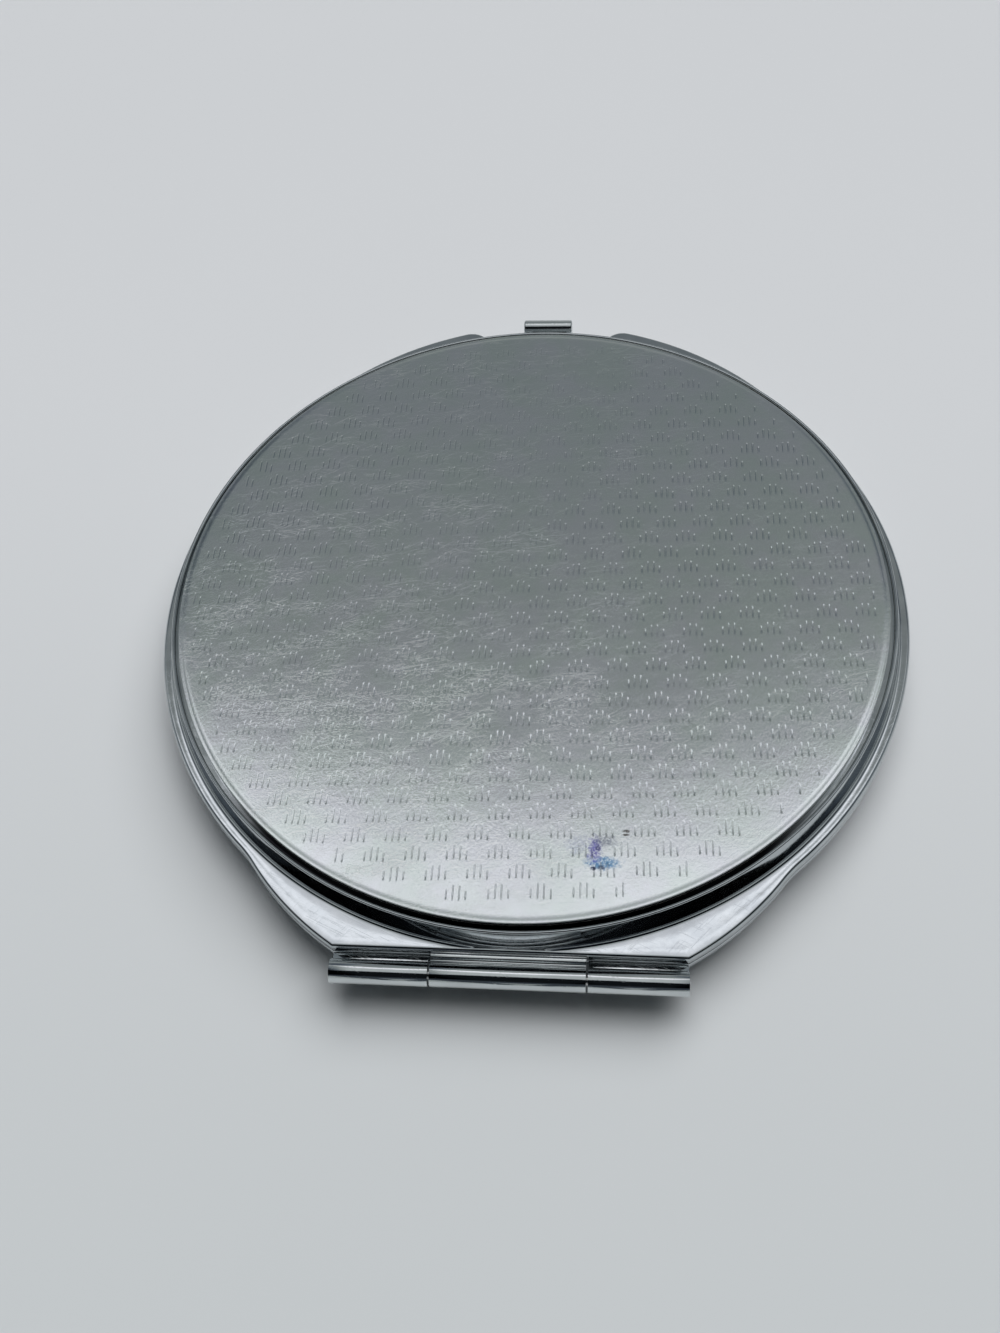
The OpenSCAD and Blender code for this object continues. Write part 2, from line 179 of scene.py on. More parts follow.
def circle(r, n):
    """Closed circle of n points round zero."""
    return around((0, 0), r, [2 * math.pi * i / n for i in range(n)])


def meet(r, c, q):
    """Where a circle of radius r round zero meets one of radius q round (0, c)."""
    y = (r * r - q * q + c * c) / (2 * c)
    return (math.sqrt(r * r - y * y), y)


def angle(p, c):
    """Direction of p seen from c."""
    return math.atan2(p[1] - c[1], p[0] - c[0])


def outline(inset):
    """Plan of the case, drawn in by an inset."""
    middle = (0, 0)
    r = CASE_R - inset
    hinge_c, hinge_r = (0, -HINGE_SHIFT), HINGE_LOBE_R - inset
    front_c, front_r = (0, FRONT_SHIFT), FRONT_LOBE_R - inset
    tip_c, tip_r = (TIP_X, TIP_Y), TIP_R - inset
    edge = HINGE_EDGE - inset
    corner = (math.sqrt(hinge_r * hinge_r - (edge - HINGE_SHIFT) ** 2), -edge)
    low = meet(CASE_R + BLEND_R, -HINGE_SHIFT, HINGE_LOBE_R + BLEND_R)
    high = meet(CASE_R + BLEND_R, FRONT_SHIFT, FRONT_LOBE_R + BLEND_R)
    # the tip's circle meets the round case at the notch
    d = math.hypot(*tip_c)
    a = (d * d + r * r - tip_r * tip_r) / (2 * d)
    h = math.sqrt(r * r - a * a)
    u = (tip_c[0] / d, tip_c[1] / d)
    notch = (a * u[0] - h * u[1], a * u[1] + h * u[0])
    swing = angle(tip_c, front_c)
    runs = [
        [(corner[0] * i / EDGE_STEPS, -edge) for i in range(EDGE_STEPS + 1)],
        arc(hinge_c, hinge_r, angle(corner, hinge_c), angle(low, hinge_c), HINGE_LOBE_STEPS),
        arc(low, BLEND_R + inset, angle(hinge_c, low), angle(middle, low), LOW_BLEND_STEPS),
        arc(middle, r, angle(low, middle), angle(high, middle), SIDE_STEPS),
        arc(high, BLEND_R + inset, angle(middle, high), angle(front_c, high), HIGH_BLEND_STEPS),
        arc(front_c, front_r, angle(high, front_c), swing, FRONT_LOBE_STEPS),
        arc(tip_c, tip_r, swing, angle(notch, tip_c), TIP_STEPS),
        arc(middle, r, angle(notch, middle), math.pi / 2, NOTCH_STEPS),
    ]
    right = runs[0]
    for run in runs[1:]:
        right.extend(run[1:])
    left = [(-x, y) for x, y in reversed(right[1:-1])]
    return right + left


OUTLINE = outline(0.0)
THETA = [math.atan2(y, x) for x, y in OUTLINE]


def ring(r, z):
    """Circle with as many points as the outline, in the same directions."""
    return [(r * math.cos(t), r * math.sin(t), z) for t in THETA]


def at(points, z):
    """Points of a plan, put at a height."""
    return [(x, y, z) for x, y in points]


def rectangle(wide, y0, y1):
    """Plan of a box that lies evenly across the middle."""
    return [(-wide / 2, y0), (wide / 2, y0), (wide / 2, y1), (-wide / 2, y1)]


# meshes
def bridge(a, b):
    """Faces between two closed loops of equally many vertices."""
    n = len(a)
    return [(a[i], a[(i + 1) % n], b[(i + 1) % n], b[i]) for i in range(n)]


def loft(rings):
    """Skin over rings of equally many points, closed at both ends."""
    n = len(rings[0])
    verts = [p for r in rings for p in r]
    rows = [list(range(k * n, k * n + n)) for k in range(len(rings))]
    faces = []
    for a, b in zip(rows, rows[1:]):
        faces.extend(bridge(a, b))
    faces.append(tuple(reversed(rows[0])))
    faces.append(tuple(rows[-1]))
    return verts, faces


def lathe(profile, n=ROUND_STEPS, closed=False):
    """Revolves (r, z) points about the Z axis; a point on the axis becomes one vertex."""
    verts, faces, rows = [], [], []
    for r, z in profile:
        points = at(circle(r, n), z) if r else [(0.0, 0.0, z)]
        rows.append(list(range(len(verts), len(verts) + len(points))))
        verts.extend(points)
    pairs = list(zip(rows, rows[1:])) + ([(rows[-1], rows[0])] if closed else [])
    for a, b in pairs:
        if len(a) == len(b) == 1:
            continue
        if len(a) == 1:
            faces.extend((a[0], b[(i + 1) % n], b[i]) for i in range(n))
        elif len(b) == 1:
            faces.extend((a[i], a[(i + 1) % n], b[0]) for i in range(n))
        else:
            faces.extend(bridge(a, b))
    return verts, faces


def solid(name, verts, faces):
    """New object from points in mm, with its faces turned outwards."""
    me = bpy.data.meshes.new(name)
    me.from_pydata([(x * MM, y * MM, z * MM) for x, y, z in verts], [], faces)
    me.validate()
    bm = bmesh.new()
    bm.from_mesh(me)
    bmesh.ops.recalc_face_normals(bm, faces=bm.faces)
    bm.to_mesh(me)
    bm.free()
    ob = bpy.data.objects.new(name, me)
    scene.collection.objects.link(ob)
    return ob


def prism(name, points, low, high):
    """Upright prism over a plan."""
    return solid(name, *loft([at(points, low), at(points, high)]))


def combine(ob, operation, tools):
    """Joins meshes to a mesh or cuts them out of it, and removes them."""
    for tool in tools:
        m = ob.modifiers.new("combine", "BOOLEAN")
        m.operation, m.solver, m.object = operation, "MANIFOLD", tool
    bpy.context.view_layer.update()
    done = bpy.data.meshes.new_from_object(ob.evaluated_get(bpy.context.evaluated_depsgraph_get()))
    ob.modifiers.clear()
    ob.data = done
    for tool in tools:
        bpy.data.objects.remove(tool)


def finish_piece(ob, body, node, material, sharp=32.0):
    """Shades a piece, ties it to its body and lets it stand for a node of the part."""
    me = ob.data
    me.polygons.foreach_set("use_smooth", [True] * len(me.polygons))
    me.set_sharp_from_angle(angle=math.radians(sharp))
    me.materials.clear()
    me.materials.append(material)
    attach(ob, body)
    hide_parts(node)


# materials
class Nodes:
    """Short calls for building a node tree."""

    def __init__(self, tree):
        self.tree = tree
        tree.nodes.clear()

    def add(self, kind, **settings):
        node = self.tree.nodes.new(kind)
        for key, value in settings.items():
            setattr(node, key, value)
        return node

    def link(self, value, socket):
        """Links an output to a socket, or sets the socket to a plain value."""
        if hasattr(value, "is_output"):
            self.tree.links.new(value, socket)
        else:
            socket.default_value = value

    def math(self, operation, a, b=0.0, c=0.0, clamp=False):
        node = self.add("ShaderNodeMath", operation=operation, use_clamp=clamp)
        for value, socket in zip((a, b, c), node.inputs):
            self.link(value, socket)
        return node.outputs[0]

    def plus(self, a, b):
        return self.math("ADD", a, b)

    def minus(self, a, b):
        return self.math("SUBTRACT", a, b)

    def times(self, a, b):
        return self.math("MULTIPLY", a, b)

    def times_plus(self, a, b, c):
        return self.math("MULTIPLY_ADD", a, b, c)

    def length(self, x, y):
        return self.math("SQRT", self.plus(self.math("POWER", x, 2.0), self.math("POWER", y, 2.0)))

    def ramp(self, value, lo, hi, a=0.0, b=1.0, smooth=False):
        """Goes from a to b while the value goes from lo to hi."""
        node = self.add("ShaderNodeMapRange", interpolation_type="SMOOTHSTEP" if smooth else "LINEAR")
        self.link(value, node.inputs["Value"])
        for key, v in (("From Min", lo), ("From Max", hi), ("To Min", a), ("To Max", b)):
            self.link(v, node.inputs[key])
        return node.outputs["Result"]

    def band(self, value, rise, fall):
        """1 between two ramps, each given by its start and its end."""
        return self.times(self.ramp(value, *rise), self.ramp(value, *fall, 1.0, 0.0))

    def mix(self, factor, a, b):
        node = self.add("ShaderNodeMix", data_type="RGBA")
        self.link(factor, node.inputs["Factor"])
        # the colour sockets come after those of numbers and vectors
        self.link(a, node.inputs[6])
        self.link(b, node.inputs[7])
        return node.outputs[2]

    def split(self, vector):
        node = self.add("ShaderNodeSeparateXYZ")
        self.tree.links.new(vector, node.inputs[0])
        return node.outputs

    def place(self, rotation=0.0, scale=(1, 1, 1), shift=(0, 0, 0)):
        """Object coordinates in mm, turned about Z and then stretched."""
        co = self.add("ShaderNodeTexCoord").outputs["Object"]
        turn = self.add("ShaderNodeMapping", vector_type="POINT")
        self.tree.links.new(co, turn.inputs["Vector"])
        turn.inputs["Rotation"].default_value = (0, 0, math.radians(rotation))
        turn.inputs["Scale"].default_value = (1 / MM, 1 / MM, 1 / MM)
        stretch = self.add("ShaderNodeMapping", vector_type="POINT")
        self.tree.links.new(turn.outputs[0], stretch.inputs["Vector"])
        stretch.inputs["Scale"].default_value = scale
        stretch.inputs["Location"].default_value = shift
        return stretch.outputs[0]

    def noise(self, vector, scale=1.0, detail=2.0, rough=0.5):
        node = self.add("ShaderNodeTexNoise")
        self.tree.links.new(vector, node.inputs["Vector"])
        node.inputs["Scale"].default_value = scale
        node.inputs["Detail"].default_value = detail
        node.inputs["Roughness"].default_value = rough
        return node.outputs["Fac"]

    def streaks(self, rotation, length, width, rare, shift, detail=0.0, fade=0.04):
        """Single scratches: the highest peaks of a stretched noise."""
        lines = self.noise(self.place(rotation, (1 / length, 1 / width, 1), shift), detail=detail)
        return self.ramp(lines, rare, rare + fade)

    def hairs(self, rotation, length, width, rare, shift):
        """Hairlines along a direction, broken up by a patchy noise."""
        lines = self.streaks(rotation, length, width, rare, shift, detail=1.0, fade=0.03)
        patches = self.ramp(self.noise(self.place(rotation, shift=shift), scale=0.5), 0.45, 0.6)
        return self.times(lines, patches)

    def spot(self, x, y, vector, place, size, fuzz):
        """Ragged spot: 1 inside an ellipse at a place in mm, and 0 outside it."""
        across = self.math("DIVIDE", self.minus(x, place[0]), size[0])
        along = self.math("DIVIDE", self.minus(y, place[1]), size[1])
        ragged = self.times_plus(self.noise(vector, scale=3.5, detail=3.0), fuzz, self.length(across, along))
        inside = self.ramp(ragged, 0.55 + fuzz / 2, 1.35 + fuzz / 2, 1.0, 0.0)
        return self.times(inside, self.ramp(self.noise(vector, scale=6.0), 0.35, 0.55, 0.35, 1.0))

    def bump(self, height, strength, depth, normal=None):
        """Bump of a depth in mm, on top of another one."""
        node = self.add("ShaderNodeBump")
        self.link(height, node.inputs["Height"])
        node.inputs["Strength"].default_value = strength
        node.inputs["Distance"].default_value = depth * MM
        if normal is not None:
            self.tree.links.new(normal, node.inputs["Normal"])
        return node.outputs["Normal"]


def material(name):
    """New material, the calls for its nodes, and the inputs of its shader."""
    m = bpy.data.materials.new(name)
    m.use_nodes = True
    n = Nodes(m.node_tree)
    shader = n.add("ShaderNodeBsdfPrincipled")
    out = n.add("ShaderNodeOutputMaterial")
    m.node_tree.links.new(shader.outputs[0], out.inputs["Surface"])
    return m, n, shader.inputs


def groove_painted_shade(n):
    """Painted shade at the bottom of the groove round each plate, towards the hinge."""
    x, y, z = n.split(n.place())
    height = n.math("ABSOLUTE", n.minus(z, HINGE_Z))
    beside = n.band(n.length(x, y), (PLATE_R - 0.1, PLATE_R - 0.05), (PLATE_R + 0.34, PLATE_R + 0.39))
    deep = n.band(height, (GROOVE_Z - 0.1, GROOVE_Z), (HALF_H - 0.16, HALF_H - 0.02))
    return n.times(n.times(beside, deep), n.ramp(y, -18, -24, 0.0, 1.0, True))


def chrome(name, low, high, wear, paint_groove_shade=False):
    """Polished plating: cloudy brightness, hairlines and a slightly uneven pressed surface; on request a
    painted shade in the groove round the plate.
    """
    m, n, s = material(name)
    cloud = n.noise(n.place(shift=(3, 5, 7)), scale=0.35, detail=4.0)
    fine = n.noise(n.place(), scale=2.6, detail=5.0, rough=0.65)
    long_hairs = n.hairs(24, 5.0, 0.07, 0.64, (0, 0, 0))
    short_hairs = n.hairs(-48, 4.0, 0.06, 0.65, (9, 2, 0))
    hair = n.math("ADD", long_hairs, short_hairs, clamp=True)
    base = n.mix(n.ramp(cloud, 0.3, 0.7), (*low, 1), (*high, 1))
    # painted shade: the bottom of the groove round the plate turns nearly black towards the hinge side
    if paint_groove_shade:
        base = n.mix(groove_painted_shade(n), base, (0.012, 0.012, 0.014, 1))
    n.link(base, s["Base Color"])
    s["Metallic"].default_value = 1.0
    uneven = n.plus(n.times(fine, 0.6), n.times(cloud, 0.4))
    rough = n.ramp(uneven, 0.35, 0.65, 0.05, 0.12)
    n.link(n.times_plus(hair, 0.12 * wear, rough), s["Roughness"])
    waves = n.noise(n.place(shift=(1, 8, 2)), scale=0.5, detail=1.5)
    wavy = n.bump(fine, 0.2, 0.008, n.bump(waves, 0.4, 0.03))
    n.link(n.bump(hair, 0.25 * wear, 0.01, wavy), s["Normal"])
    return m


# scratches of the plates: turn in degrees, length and width of the noise they are cut from in mm, rarity
SCRATCHES = (
    (-3, 1.5, 0.14, 0.69), (-12, 2.0, 0.13, 0.70), (-30, 2.0, 0.13, 0.71), (14, 1.3, 0.14, 0.71),
    (-34, 6.0, 0.11, 0.745), (-8, 5.0, 0.11, 0.75),
)
# marks on the lid's plate: place in mm, half sizes, raggedness, strength, colour
STAINS = (
    (6.95, -25.40, 1.15, 0.50, 1.6, 0.90, (0.06, 0.20, 0.36, 1)),
    (6.35, -24.35, 0.50, 0.95, 1.6, 0.85, (0.12, 0.11, 0.38, 1)),
    (7.15, -23.60, 0.75, 0.50, 1.8, 0.65, (0.10, 0.12, 0.18, 1)),
    (5.10, -24.00, 0.90, 0.70, 1.8, 0.30, (0.25, 0.28, 0.45, 1)),
    (6.26, -25.86, 0.22, 0.17, 0.8, 0.95, (0.02, 0.03, 0.07, 1)),
    (6.88, -25.78, 0.24, 0.17, 0.8, 0.95, (0.02, 0.03, 0.07, 1)),
    (6.60, -24.25, 0.20, 0.22, 0.8, 0.90, (0.04, 0.04, 0.14, 1)),
    (8.72, -22.72, 0.27, 0.12, 1.0, 0.95, (0.04, 0.03, 0.02, 1)),
    (8.70, -23.02, 0.25, 0.10, 1.0, 0.90, (0.04, 0.03, 0.02, 1)),
)
# how far the noise is moved from one kind of scratch to the next
SCRATCH_STEP = (3.1, 7.7)


def plate_marks(n, cloud, x, y):
    """Scratches and speckle: heavier to the left, and the speckle also towards the hinge."""
    cloudy = n.times(n.minus(cloud, 0.5), 1.2)
    worn = n.math("ADD", n.ramp(x, -24, 16, 0.78, 0.25, True), cloudy, clamp=True)
    lines = 0.0
    for k, (turn, length, width, rare) in enumerate(SCRATCHES):
        shift = (SCRATCH_STEP[0] * k, SCRATCH_STEP[1] * k, 0)
        lines = n.math("MAXIMUM", lines, n.streaks(turn, length, width, rare, shift))
    patchy = n.noise(n.place(-12, (0.4, 1, 1), (4, 1, 0)), scale=0.45, detail=4.0, rough=0.65)
    patches = n.ramp(patchy, 0.42, 0.60)
    specks = n.noise(n.place(-6, (0.7, 1, 1), (6, 3, 0)), scale=6.5, detail=2.5, rough=0.65)
    near = n.times(patches, n.ramp(y, 16, -14, 0.2, 1.0, True))
    speckle = n.times(n.ramp(specks, 0.53, 0.60), near)
    lines = n.times(lines, n.ramp(patches, 0.0, 1.0, 0.15, 0.8))
    return n.times(n.math("MAXIMUM", lines, n.times(speckle, 0.85)), worn)


def plate_material(name, stains):
    """Pressed plate with a satin face: cloudy, scratched and speckled."""
    m, n, s = material(name)
    flat = n.place()
    cloud = n.noise(n.place(0, (1, 1, 0.2), (11, 4, 0)), scale=0.09, detail=4.0, rough=0.6)
    mottle = n.noise(n.place(0, (1, 1, 0.2), (2, 9, 0)), scale=0.22, detail=3.0, rough=0.6)
    grain = n.noise(flat, scale=9.0, detail=3.0, rough=0.7)
    x, y, z = n.split(flat)
    marks = plate_marks(n, cloud, x, y)
    base = n.mix(n.ramp(mottle, 0.38, 0.62), (0.590, 0.642, 0.626, 1), (0.621, 0.642, 0.667, 1))
    base = n.mix(n.times(marks, 0.60), base, (0.95, 0.96, 0.95, 1))
    for place_x, place_y, wide, high, fuzz, strength, colour in stains:
        spot = n.spot(x, y, flat, (place_x, place_y), (wide, high), fuzz)
        base = n.mix(n.times(spot, strength), base, colour)
    n.link(base, s["Base Color"])
    s["Metallic"].default_value = 1.0
    uneven = n.plus(n.times(cloud, 0.7), n.times(grain, 0.3))
    rough = n.ramp(uneven, 0.35, 0.65, 0.14, 0.20)
    n.link(n.times_plus(marks, 0.12, rough), s["Roughness"])
    soft = n.bump(n.noise(n.place(shift=(5, 5, 5)), scale=0.22), 0.35, 0.03)
    pits = n.noise(n.place(0, (1.4, 0.8, 1), (8, 2, 0)), scale=4.0, detail=3.0, rough=0.6)
    pitted = n.bump(pits, 0.5, 0.012, n.bump(grain, 0.25, 0.006, soft))
    n.link(n.bump(marks, 0.35, 0.008, pitted), s["Normal"])
    return m


def steel(name, low, high, rough):
    """Plain steel with a fine grain along X."""
    m, n, s = material(name)
    brushed = n.noise(n.place(scale=(0.6, 14, 14)), detail=4.0, rough=0.7)
    cloud = n.noise(n.place(), scale=0.8, detail=3.0)
    n.link(n.mix(n.ramp(brushed, 0.3, 0.7), (*low, 1), (*high, 1)), s["Base Color"])
    s["Metallic"].default_value = 1.0
    n.link(n.ramp(cloud, 0.3, 0.7, *rough), s["Roughness"])
    n.link(n.bump(brushed, 0.3, 0.01), s["Normal"])
    return m


def mirror_material():
    """Silvered glass with a green ground edge, faint smudges and dust."""
    m, n, s = material("silvered glass")
    flat = n.place()
    x, y, z = n.split(flat)
    edge = n.ramp(n.length(x, y), GLASS_R - 0.22, GLASS_R - 0.08)
    smudge = n.noise(n.place(20, shift=(2, 9, 0)), scale=0.16, detail=4.0, rough=0.6)
    dust = n.ramp(n.noise(flat, scale=5.0), 0.72, 0.78)
    face = n.mix(n.ramp(smudge, 0.4, 0.7), (0.86, 0.885, 0.875, 1), (0.82, 0.845, 0.835, 1))
    n.link(n.mix(edge, face, (0.25, 0.42, 0.36, 1)), s["Base Color"])
    n.link(n.minus(1.0, n.times(edge, 0.7)), s["Metallic"])
    smooth = n.ramp(smudge, 0.5, 0.75, 0.012, 0.05)
    n.link(n.plus(smooth, n.times(dust, 0.2)), s["Roughness"])
    return m


def soft_material(name, low, high, rough, scale, depth):
    """Matt, finely uneven material for the foam and the adhesive."""
    m, n, s = material(name)
    cells = n.noise(n.place(), scale=scale, detail=5.0, rough=0.6)
    n.link(n.mix(n.ramp(cells, 0.3, 0.7), (*low, 1), (*high, 1)), s["Base Color"])
    n.link(n.ramp(cells, 0.3, 0.7, *rough), s["Roughness"])
    n.link(n.bump(cells, 0.5, depth), s["Normal"])
    return m


# the case plating carries the painted shade in the groove round its plate
case_metal = chrome("case plating", (0.44, 0.47, 0.49), (0.56, 0.59, 0.605), wear=0.3, paint_groove_shade=True)
hinge_metal = chrome("hinge plating", (0.60, 0.63, 0.64), (0.70, 0.73, 0.735), wear=0.5)
bezel_metal = chrome("bezel plating", (0.62, 0.62, 0.61), (0.72, 0.72, 0.71), wear=0.4)
engraved_metal = plate_material("engraved plate", STAINS)
plain_metal = plate_material("plain plate", ())
plain_steel = steel("plain steel", (0.48, 0.48, 0.47), (0.60, 0.60, 0.59), (0.22, 0.36))
spring_steel = steel("spring steel", (0.28, 0.30, 0.34), (0.40, 0.42, 0.46), (0.2, 0.32))
pin_steel = steel("pin steel", (0.45, 0.45, 0.45), (0.6, 0.6, 0.6), (0.15, 0.3))
glass_metal = mirror_material()
foam = soft_material("white foam", (0.74, 0.74, 0.72), (0.86, 0.86, 0.84), (0.8, 0.95), 3.5, 0.1)
adhesive = soft_material("clear adhesive", (0.62, 0.60, 0.52), (0.74, 0.72, 0.64), (0.35, 0.6), 1.5, 0.02)


# the two halves of the case: small steps that keep neighbouring rings apart
CLEAR = 0.02
HAIR = 0.002
RING_STEP = 0.001
# most of the flange's width for its border, then place and depth of the ring behind the border
BORDER_SHARE = 0.4
DISH_SHARES = (0.7, 0.8)


def outside(points, z, least):
    """Points of a plan at a height, none of them nearer to the axis than the drum."""
    pushed = []
    for x, y in points:
        f = max(1.0, least / math.hypot(x, y))
        pushed.append((x * f, y * f, z))
    return pushed


def foot_ring(r, z):
    """Ring of the hollow foot of the wall, held inside the case's edge where the flange is narrow."""
    points = []
    for (x, y), t in zip(OUTLINE, THETA):
        reach = max(DRUM_R + HAIR, min(r, math.hypot(x, y) - EDGE_W))
        points.append((reach * math.cos(t), reach * math.sin(t), z))
    return points


def dished(edge, foot):
    """Two rings between the case's edge and the foot of the wall: the flange rises a little to the edge."""
    rings = [[], []]
    for (x0, y0, z0), (x1, y1, z1) in zip(edge, foot):
        wide = math.hypot(x1 - x0, y1 - y0)
        border = min(BORDER, BORDER_SHARE * wide)
        border_shares = (border / wide if wide else BORDER_SHARE, 1.0)
        for points, (share, low) in zip(rings, (border_shares, DISH_SHARES)):
            z = z0 - BORDER_RISE * border * low
            points.append((x0 + (x1 - x0) * share, y0 + (y1 - y0) * share, z))
    return rings


def half_rings():
    """Rings of one half, parting face at zero and rim upwards, from the mirror's seat to the plate's."""
    rings = [ring(CAVITY_R, FLOOR_H), ring(CAVITY_R, SEAT_EDGE), ring(CAVITY_R + SEAT_EDGE, 0.0)]
    # parting edge
    rings.append(at(outline(PART_EDGE + CLEAR), 0.0))
    for i in range(6):
        a = math.radians(18 * i)
        rings.append(at(outline(PART_EDGE * (1 - math.sin(a))), PART_EDGE * (1 - math.cos(a))))
    # rolled edge of the flange
    for i in range(10):
        a = math.radians(10 * i)
        plan = outline(EDGE_W * (1 - math.cos(a)))
        z = FLANGE_H - EDGE_H * (1 - math.sin(a))
        rings.append(outside(plan, z, DRUM_R + CLEAR - RING_STEP * i))
    # dished flange and hollow foot
    curve = rounded((DRUM_R + FOOT, FLANGE_H + FOOT), FOOT, 270, 180, 8)
    foot = [foot_ring(r, z + RING_STEP) for r, z in curve]
    rings += dished(rings[-1], foot[0]) + foot
    # leaning wall
    steps = 6
    z0, z1 = FLANGE_H + FOOT, HALF_H - LIP
    for k in range(1, steps):
        rings.append(ring(DRUM_R + (RIM_R - DRUM_R) * k / steps, z0 + (z1 - z0) * k / steps))
    # bead, groove and the plate's seat
    bead = rounded((RIM_R - LIP, HALF_H - LIP), LIP, 9, 90, 10)
    bead += rounded((RIM_R - LIP, HALF_H - LIP_IN), LIP_IN, 90, 180, 9)[1:]
    bead += [(RIM_R - LIP - LIP_IN, GROOVE_Z)]
    bead += [(PLATE_R + PLATE_GAP, GROOVE_Z), (PLATE_R + PLATE_GAP, RECESS_Z)]
    rings += [ring(r, z) for r, z in bead]
    return rings


def case_half(name, side, cutters):
    """One half of the case, side 1 up and -1 down, less upright prisms given as (plan, low z, high z)."""
    verts, faces = loft(half_rings())
    ob = solid(name, [(x, y, HINGE_Z + side * (GAP / 2 + z)) for x, y, z in verts], faces)
    combine(ob, "DIFFERENCE", [prism("cutter", *cutter) for cutter in cutters])
    return ob


def spring_pocket():
    """Plan of the spring's pocket and of the slide's way in front of it."""
    pocket = rectangle(POCKET_W, SPRING_Y, POCKET_END)
    way = rectangle(WAY_W, POCKET_END, WAY_END)
    return pocket[:3] + way[1:] + way[:1] + pocket[3:]


def seat_of_cover():
    """Plan of the latch cover's seat: a straight inner side and a round outer one."""
    half = COVER_W / 2
    a = math.atan2(math.sqrt(COVER_R ** 2 - half ** 2), half)
    return [(-half, COVER_Y), (half, COVER_Y)] + arc((0, 0), COVER_R, a, math.pi - a, 30)


hook_slot = (rectangle(SLOT_W, SLOT_Y, SLOT_END), HINGE_Z - OVERLAP, SLOT_Z)
pocket_cut = (spring_pocket(), POCKET_Z, HINGE_Z + OVERLAP)
cover_cut = (seat_of_cover(), COVER_Z, HINGE_Z + OVERLAP)
finish_piece(case_half("lid_case", 1, [hook_slot]), "lid", "lid_shell", case_metal)
finish_piece(case_half("base_case", -1, [pocket_cut, cover_cut]), "base", "base_shell", case_metal)


# pattern of the lid's plate: short strokes in staggered motifs, in mm
PITCH = 3.21
ROW = 1.64
TURN = math.radians(3.0)
START = (10.64, -0.42)
ROWS = 26
COLUMNS = 15
# strokes of a motif: place across, place of the far end, length
MOTIF = ((-0.75, -0.42, 0.85), (-0.25, 0.0, 1.3), (0.25, 0.0, 1.3), (0.75, -0.42, 0.85))
# how uneven the strokes are: across, at the far end and in length, and shares of the depth
UNEVEN_X = 0.02
UNEVEN_END = 0.03
UNEVEN_LENGTH = 0.05
DEPTH_SHARES = (0.8, 1.1)
WORN_DEPTH = 0.018
CRISP_DEPTH = 0.030
# X at which the worn stretch ends where Y is zero, its move with Y, and the way from there to crisp strokes
WORN_X = -14
WORN_SLANT = 0.55
WORN_REACH = 26
# rings of a stroke: half width, share of the length at the near end, share of the cap, share of the depth
STROKE_SHARES = ((0.070, 0.0, 0.0, 0.0), (0.053, 0.14, 0.5, 0.5), (0.034, 0.30, 1.0, 1.0))
# tilt in degrees of the cap at the far end, and its change with each mm away from the hinge
CAP_TILT = 7.0
CAP_TURN = 0.2
CAP_LEAST, CAP_MOST = 5.0, 13.0
CAP_SHARE = 0.55
# strokes get broader on the far side, up to this much at this distance
BROADER = 0.32
BROAD_BY = 10.0
# clear oval round each stroke
GUARD = 0.10
GUARD_END = 0.03

# lid's plate: where its crowned face ends, the margin without strokes inside that, distances past it with
# tilts in degrees, and the rolled edge
FACE_R = 29.75
MARGIN = 0.25
BORDER_TILTS = ((0.0, 1.1), (0.18, 4.0), (0.38, 9.0), (0.52, 3.0))
BORDER_STEPS = 4
ROLL = 0.06
ROLL_TILT = 2.5
PLATE_STEPS = 720
# base's plate: its rolled lower edge, and the rings of its face
UNDER_EDGE = 0.25
UNDER_RINGS = (12, 24)


def crown_z(r):
    """Height of the lid plate's crowned face at a radius."""
    sphere = (PLATE_R ** 2 + CROWN ** 2) / (2 * CROWN)
    return 2 * HINGE_Z + CROWN + math.sqrt(sphere ** 2 - r * r) - sphere


def stroke_depth(x, y):
    """Depth of the engraving: crisp to the right and to the hinge, worn to the left."""
    w = min(max((x - WORN_X - WORN_SLANT * y) / WORN_REACH, 0.0), 1.0)
    return WORN_DEPTH + (CRISP_DEPTH - WORN_DEPTH) * w * w * (3 - 2 * w)


def pattern():
    """Strokes of the plate as (x, near y, far y, depth)."""
    rnd = random.Random(7)
    ca, sa = math.cos(TURN), math.sin(TURN)
    strokes = []
    for j in range(-ROWS, ROWS + 1):
        for i in range(-COLUMNS, COLUMNS + 1):
            u, v = i * PITCH + (j % 2) * PITCH / 2, j * ROW
            x, y = START[0] + u * ca - v * sa, START[1] + u * sa + v * ca
            for dx, top, length in MOTIF:
                sx = x + dx + rnd.uniform(-UNEVEN_X, UNEVEN_X)
                y1 = y + top + rnd.uniform(-UNEVEN_END, UNEVEN_END)
                y0 = y1 - length + rnd.uniform(-UNEVEN_LENGTH, UNEVEN_LENGTH)
                if max(math.hypot(sx, y0), math.hypot(sx, y1)) < FACE_R - MARGIN:
                    strokes.append((sx, y0, y1, stroke_depth(sx, y1) * rnd.uniform(*DEPTH_SHARES)))
    return strokes


def oval(x, y0, y1, w):
    """Plan of a stroke, w to each side of x, with cut corners."""
    c, e = w * 0.55, w * 0.4
    near = [(x - w + c, y0 - e), (x + w - c, y0 - e), (x + w, y0 + c)]
    far = [(x + w, y1 - c), (x + w - c, y1 + e), (x - w + c, y1 + e)]
    return near + far + [(x - w, y1 - c), (x - w, y0 + c)]


def stroke_rings(x, y0, y1, depth):
    """Rings of a stroke from the face down; a flat cap at its far end catches the light."""
    broad = 1.0 + BROADER * min(max(y1 / BROAD_BY, 0.0), 1.0)
    tilt = min(max(CAP_TILT + CAP_TURN * y1, CAP_LEAST), CAP_MOST)
    cap = min(depth / math.tan(math.radians(tilt)), CAP_SHARE * (y1 - y0))
    rings = []
    for w, near, far, down in STROKE_SHARES:
        points = oval(x, y0 + near * (y1 - y0), y1 - far * cap, w * broad)
        rings.append([(px, py, crown_z(math.hypot(px, py)) - depth * down) for px, py in points])
    return rings


